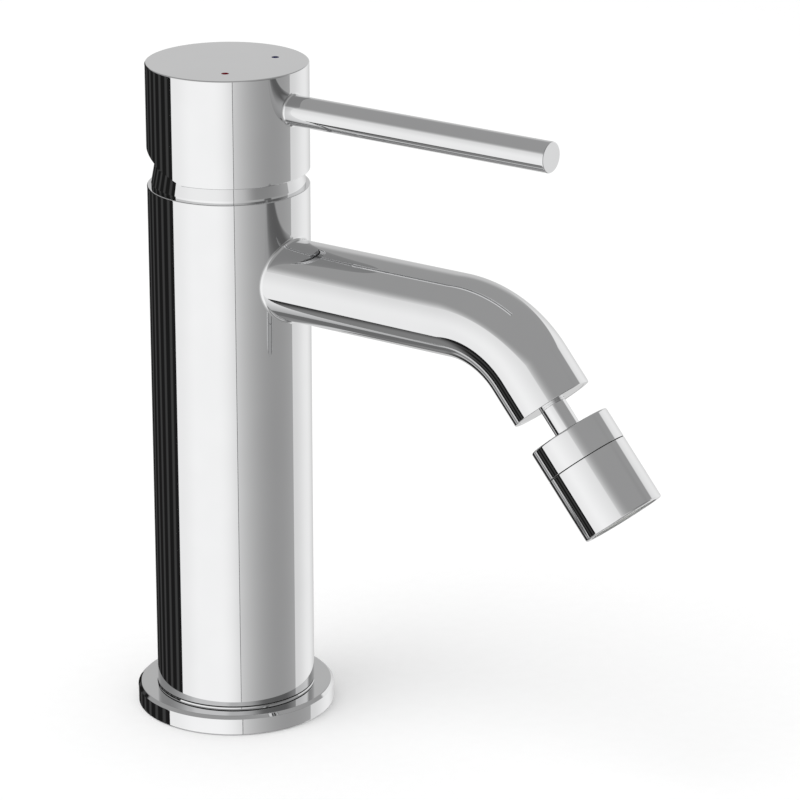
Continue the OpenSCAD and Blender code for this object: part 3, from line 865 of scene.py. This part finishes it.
@dataclass
class Handle:
    """Round head with its lever, grub screw and two enamel dots."""

    top_edge: float = 0.4
    rim_edge: float = 0.25
    hollow: float = 20.3
    hollow_depth: float = 9.2
    lip: float = 19.95
    lip_height: float = 0.4
    lip_edge: float = 0.1
    cut_from: float = 1.5
    cut_slope: float = 20
    dot_proud: float = 0.06
    fillet: float = 0.7
    lever_edge: float = 0.3
    lever_sides: int = 128
    grub_hole: float = 2.53
    grub_sides: int = 64

    def build(self) -> None:
        """Builds the head, the lever and the dots, and dresses the screw."""
        low, high = box_mm("lever_head")
        self._head(low.z, high.z - self.dot_proud, high.y)
        self._lever(high.y)
        for node in ("hot_dot", "cold_dot"):
            self._dot(node)
        dress("grub_screw")

    def _head(self, bottom: float, top: float, radius: float) -> None:
        """Builds the head: turned, cut away obliquely at the rear, and drilled for the screw.

        Args:
            bottom: Height of its lower rim.
            top: Height of its top face.
            radius: Its outer radius.
        """
        piece = Piece("lever_head", CHROME, CAST_METAL)
        roof = bottom + self.hollow_depth
        lip_top = bottom + self.lip_height
        piece.turn(outline([
            Corner(0, top), Corner(radius, top, self.top_edge), Corner(radius, bottom, self.rim_edge),
            Corner(self.lip, bottom, self.lip_edge), Corner(self.lip, lip_top),
            Corner(self.hollow, lip_top), Corner(self.hollow, roof), Corner(0, roof),
        ]), closed=False)
        slope = math.radians(self.cut_slope)
        cut = bmesh.ops.bisect_plane(
            piece.bm, geom=[*piece.bm.verts, *piece.bm.edges, *piece.bm.faces], dist=MERGE_DISTANCE,
            plane_co=(self.cut_from, 0, bottom), plane_no=(math.sin(slope), 0, math.cos(slope)),
            clear_inner=True,
        )["geom_cut"]
        edges = [item for item in cut if isinstance(item, BMEdge)]
        bmesh.ops.triangle_fill(piece.bm, edges=edges, use_beauty=True)
        piece.clean()
        for face in piece.bm.faces:
            middle = face.calc_center_median()
            inside = middle.xy.length < self.hollow + MERGE_DISTANCE
            if inside and lip_top - self.lip_height / 2 < middle.z < roof + MERGE_DISTANCE:
                face.material_index = 1
        head = piece.deliver()
        self._drill(head, radius)

    def _drill(self, head: bpy.types.Object, radius: float) -> None:
        """Drills the grub screw's hole into the head's rear.

        Args:
            head: The head's object.
            radius: Its outer radius.
        """
        low, high = box_mm("grub_screw")
        bm = bmesh.new()
        depth = radius + high.x
        middle = Vector((-radius, 0, (low.z + high.z) / 2))
        lay = Matrix.Scale(MM, 4) @ Matrix.Translation(middle) @ Matrix.Rotation(math.pi / 2, 4, "Y")
        bmesh.ops.create_cone(
            bm, cap_ends=True, segments=self.grub_sides, radius1=self.grub_hole, radius2=self.grub_hole,
            depth=2 * depth, matrix=lay,
        )
        mesh = bpy.data.meshes.new("drill")
        bm.to_mesh(mesh)
        bm.free()
        drill = bpy.data.objects.new("drill", mesh)
        bpy.context.scene.collection.objects.link(drill)
        hole = head.modifiers.new("hole", "BOOLEAN")
        hole.object = drill
        hole.solver = "EXACT"
        head.modifiers.move(1, 0)
        head.modifiers["normals"].show_viewport = False
        graph = bpy.context.evaluated_depsgraph_get()
        drilled = bpy.data.meshes.new_from_object(head.evaluated_get(graph))
        head.modifiers.remove(hole)
        head.modifiers["normals"].show_viewport = True
        head.data = drilled
        drilled.set_sharp_from_angle(angle=SHARP_ANGLE)
        bpy.data.objects.remove(drill)

    def _lever(self, wall: float) -> None:
        """Builds the lever with the fillet at its root.

        Args:
            wall: Radius of the head that it grows out of.
        """
        low, high = box_mm("lever_pin")
        radius, level = high.y, (low.z + high.z) / 2
        piece = Piece("lever_pin")
        ring = piece.root(radius, level, wall, self.fillet, self.lever_sides)
        for point in outline([
            Corner(radius, 0), Corner(radius, high.x, self.lever_edge), Corner(0, high.x),
        ])[1:-1]:
            middle = Vector((point.y, 0, level))
            ring = piece.pull(ring, lambda spoke, m=middle, r=point.x: m + spoke * r)
        bmesh.ops.edgeloop_fill(piece.bm, edges=ring)
        piece.clean()
        piece.deliver()

    def _dot(self, node: str) -> None:
        """Builds an enamel dot with a slight dome.

        Args:
            node: The dot's solid.
        """
        low, high = box_mm(node)
        middle = (low + high) / 2
        radius = high.x - middle.x
        rise = self.dot_proud
        dome = (radius ** 2 + rise ** 2) / (2 * rise)
        span = math.degrees(math.asin(radius / dome))
        points = arc(high.z - dome, dome, 0, span, ARC_STEPS)
        piece = Piece(node)
        piece.turn([*points, Vector((radius, low.z)), Vector((0, low.z))], closed=False)
        piece.deliver(Matrix.Translation((middle.x, middle.y, 0)))


@dataclass
class Neck:
    """Slightly conical ring between the column and the head, over the cartridge."""

    foot: float = 0.8
    shoulder_in: float = 0.9
    shoulder: float = 5.6
    top_in: float = 1.5
    eye: float = 9
    lid: float = 1.6
    bore: float = 17.23
    edge: float = 0.3

    def build(self) -> None:
        """Builds the ring and dresses the cartridge."""
        low, high = box_mm("cover_ring")
        radius, base, top = high.y, low.z, high.z
        piece = Piece("cover_ring")
        piece.turn(outline([
            Corner(self.bore, base), Corner(radius, base), Corner(radius, base + self.foot, self.edge),
            Corner(radius - self.shoulder_in, base + self.shoulder, self.edge),
            Corner(radius - self.top_in, top, self.edge), Corner(self.eye, top),
            Corner(self.eye, top - self.lid), Corner(self.bore, top - self.lid),
        ]))
        piece.deliver()
        for node in (
            "cartridge_nut", "cartridge_housing", "cartridge_base", "housing_seal", "inlet_seals",
            "disc_seals", "fixed_disc", "moving_disc", "disc_driver", "cartridge_rotor",
            "spindle_pin", "spindle",
        ):
            dress(node)


class Passage(NamedTuple):
    """Smooth passage: where it starts and ends, and the levels before and after it."""

    start: float
    end: float
    low: float = 0.0
    high: float = 1.0


class Span(NamedTuple):
    """Stretch between two borders, and the softness of both."""

    low: float
    high: float
    soft: float


@dataclass(frozen=True)
class Room:
    """The room that polished metal mirrors: four walls by their bearings under one grey ceiling.

    Bearings are in degrees from the front and grow to the right, and heights are in degrees above level.
    The tops of the white and the light wall are rises over the run to them. Tones are linear brightness
    before the gain.
    """

    turn: float = 37.16
    gain: float = 1.47
    border: float = 0.3
    blur: float = 1.5
    dark_from: float = -168
    white_from: float = -85
    white_to: float = 7.25
    grey_from: float = 7.95
    grey_middle: float = 67
    light_from: float = 98.6
    white_facing: float = -39
    white_top: float = 0.5
    light_facing: float = 103
    light_top: float = 0.5
    top_blur: float = 0.025
    dark_top: float = 22
    white_foot: float = -58
    dark_foot: float = -45
    dark_foot_blur: float = 6
    grey_foot: float = -49
    floor: Passage = Passage(-72, -60, 0.45, 0.2)
    white_tone: float = 0.893
    white_left: Passage = Passage(-80, -50, 0.92, 1.0)
    white_right: tuple[float, float] = (-22, 8)
    white_right_loss: float = 0.2
    white_up: Passage = Passage(-14, 26, 1.0, 0.84)
    white_down: Passage = Passage(-58, -46, 0.7, 1.0)
    grey_tone: float = 0.295
    glow: float = 0.30
    glow_up: tuple[float, float] = (24, 38)
    glow_left: tuple[float, float] = (-75, -120)
    beyond_end: float = 10
    beyond_up: Passage = Passage(12, 30, 1.0, 0.0)
    shade: float = 0.55
    shade_aside: Span = Span(32, 88, 12)
    shade_up: Span = Span(3, 35, 6)
    rear_aside: Passage = Passage(140, 172)
    rear_up: Passage = Passage(16, 34, 0.185, 0.0)
    dark_tone: float = 0.01
    stripe_width: float = 14
    stripe_tone: float = 0.035
    stripe_edge: Passage = Passage(-0.2, 1.0)
    light_tone: float = 0.75
    light_near: Passage = Passage(100, 132, 0.86, 1.03)
    light_far: Passage = Passage(136, 174, 1.0, 0.6)

    def tone(self, bench: Bench) -> Signal:
        """Brightness of the whole room by direction.

        Args:
            bench: The world's tree.

        Returns:
            The brightness.
        """
        view = bench.node("TexCoord", output="Generated")
        turn = math.radians(self.turn)
        ahead, aside = (
            bench.node("VectorMath", {"operation": "DOT_PRODUCT"}, (view, way), "Value")
            for way in ((math.sin(turn), -math.cos(turn), 0), (math.cos(turn), math.sin(turn), 0))
        )
        upward = bench.node("SeparateXYZ", None, (view,), "Z")
        bearing, height = aside.bearing(ahead), upward.degrees_up()
        low_white, low_light = (
            1 - (upward / (ahead * math.cos(way) + aside * math.sin(way))).step(top, self.top_blur)
            for way, top in (
                (math.radians(self.white_facing), self.white_top),
                (math.radians(self.light_facing), self.light_top),
            )
        )
        white = bearing.within(self.white_from, self.white_to, self.border)
        dark = bearing.within(self.dark_from, self.white_from, self.border)
        light = bearing.step(self.light_from, self.border) + 1 - bearing.step(self.dark_from, self.border)
        room = self._grey(bearing, height) * (1 - self._crease(bearing, height))
        for share, wall in (
            (white * low_white, self._white(bearing, height)),
            (dark * (1 - height.step(self.dark_top, self.blur)), self._dark(bearing)),
            (light * low_light, self._light(bearing)),
        ):
            room = room * (1 - share) + wall * share
        stands = white * height.step(self.white_foot, self.blur)
        stands = stands + dark * height.step(self.dark_foot, self.dark_foot_blur)
        stands = stands + (1 - white - dark) * height.step(self.grey_foot, self.blur)
        return room * stands + height.fade(*self.floor) * (1 - stands)

    def _crease(self, bearing: Signal, height: Signal) -> Signal:
        """Thin dark line in the corner of the white and the grey wall."""
        low = 1 - height.step(self.dark_top, self.blur)
        return bearing.within(self.white_to, self.grey_from, self.border) * low

    def _white(self, bearing: Signal, height: Signal) -> Signal:
        """The white wall, which dims a little towards all its edges.

        Args:
            bearing: Bearing of the direction.
            height: Its height.

        Returns:
            The brightness.
        """
        loss = bearing.ramp(*self.white_right) ** 2.0 * self.white_right_loss
        wall = bearing.fade(*self.white_left) * self.white_tone - loss
        return wall * height.fade(*self.white_up) * height.fade(*self.white_down)

    def _grey(self, bearing: Signal, height: Signal) -> Signal:
        """The grey wall and the ceiling: brighter near the walls beside it, dim over a band at the right.

        Args:
            bearing: Bearing of the direction.
            height: Its height.

        Returns:
            The brightness.
        """
        aside = bearing.ramp(self.white_to, self.grey_middle) + bearing.ramp(*self.glow_left)
        upward = height.ramp(*self.glow_up)
        away = ((aside ** 2.0 + upward ** 2.0) ** 0.5).ramp(0, 1)
        glow = (1 - away) ** 2.0 * self.glow
        beyond = bearing.ramp(self.grey_middle, 2 * self.grey_middle) ** 2.0 * self.glow
        beyond = beyond * bearing.fade(self.light_from, self.light_from + self.beyond_end, 1.0, 0.0)
        beyond = beyond * height.fade(*self.beyond_up)
        shaded = bearing.within(*self.shade_aside) * height.within(*self.shade_up) * self.shade
        rear = abs(bearing).fade(*self.rear_aside) * height.fade(*self.rear_up)
        return (glow + beyond + rear + self.grey_tone) * (1 - shaded)

    def _dark(self, bearing: Signal) -> Signal:
        """The dark wall with its faint upright stripes."""
        stripes = (bearing * (math.tau / self.stripe_width)).sine().fade(*self.stripe_edge)
        return stripes * self.stripe_tone + self.dark_tone

    def _light(self, bearing: Signal) -> Signal:
        """The light wall, which dims towards both ends."""
        turned = abs(bearing)
        return turned.fade(*self.light_near) * turned.fade(*self.light_far) * self.light_tone


@dataclass(frozen=True)
class Lamp:
    """One large soft lamp up on the left."""

    size: float = 1.6
    energy: float = 12
    place: tuple[float, float, float] = (-0.5, -1.0, 1.9)
    aim: tuple[float, float, float] = (0, 0, 0.08)

    def build(self) -> None:
        """Hangs the lamp, which the metal doesn't mirror."""
        light = bpy.data.lights.new("soft_lamp", "AREA")
        light.shape = "DISK"
        light.size = self.size
        light.energy = self.energy
        lamp = bpy.data.objects.new("soft_lamp", light)
        lamp.location = self.place
        lamp.rotation_euler = (Vector(self.aim) - lamp.location).to_track_quat("-Z", "Y").to_euler()
        lamp.visible_glossy = False
        bpy.context.scene.collection.objects.link(lamp)


@dataclass
class Studio:
    """Pale floor, soft light, the mirrored room and the camera."""

    floor_size: float = 6.0
    floor_drop: float = 0.0002
    soft_light: float = 0.95
    camera_at: tuple[float, float, float] = (0.5961, -0.7639, 0.4218)
    camera_yaw: float = 35.3
    camera_pitch: float = 19.125
    lens: float = 171.8
    sensor: float = 36

    def build(self) -> None:
        """Sets the view up and builds floor, light, room and camera."""
        scene = bpy.context.scene
        scene.view_settings.view_transform = "Standard"
        self._floor()
        self._world(scene, Room())
        Lamp().build()
        self._camera(scene)

    def _floor(self) -> None:
        """Builds the floor, which the metal doesn't mirror."""
        bm = bmesh.new()
        bmesh.ops.create_grid(
            bm, x_segments=1, y_segments=1, size=self.floor_size / 2,
            matrix=Matrix.Translation((0, 0, -self.floor_drop)),
        )
        mesh = bpy.data.meshes.new("floor")
        bm.to_mesh(mesh)
        bm.free()
        mesh.materials.append(FLOOR_PAPER.material())
        floor = bpy.data.objects.new("floor", mesh)
        floor.visible_glossy = False
        bpy.context.scene.collection.objects.link(floor)

    def _world(self, scene: bpy.types.Scene, room: Room) -> None:
        """Lights the scene softly, shows the camera plain white, and shows metal the room.

        Args:
            scene: Scene that gets the world.
            room: What metal mirrors.
        """
        world = bpy.data.worlds.new("studio")
        world.use_nodes = True
        world.cycles.sampling_method = "NONE"
        scene.world = world
        bench = Bench(world.node_tree)
        camera_ray = bench.node("LightPath", output="Is Camera Ray")
        glossy_ray = bench.node("LightPath", output="Is Glossy Ray")
        white = (1.0, 1.0, 1.0, 1.0)
        mirrored = bench.node("Background", None, {"Color": room.tone(bench), "Strength": room.gain})
        plain = bench.node("Background", None, {"Color": white, "Strength": 1.0})
        soft = bench.node("Background", None, {"Color": white, "Strength": self.soft_light})
        shown = bench.node("MixShader", None, (camera_ray, soft, plain))
        shown = bench.node("MixShader", None, (glossy_ray, shown, mirrored))
        bench.node("OutputWorld", None, {"Surface": shown})

    def _camera(self, scene: bpy.types.Scene) -> None:
        """Places a plain pitched camera, whose view comes near the photograph's.

        Args:
            scene: Scene that gets the camera.
        """
        camera = bpy.data.objects.new("camera", bpy.data.cameras.new("camera"))
        camera.data.lens = self.lens
        camera.data.sensor_width = self.sensor
        camera.location = self.camera_at
        camera.rotation_euler = (math.radians(90 - self.camera_pitch), 0, math.radians(self.camera_yaw))
        scene.collection.objects.link(camera)
        scene.camera = camera


def main() -> None:
    """Builds the mixer from its foot to its lever, and then the studio."""
    logging.basicConfig(level=logging.INFO, format="%(message)s")
    for part in (Foot(), Column(), Spout(), Aerator(), Neck(), Handle(), Studio()):
        part.build()


if __name__ == "__main__":
    main()
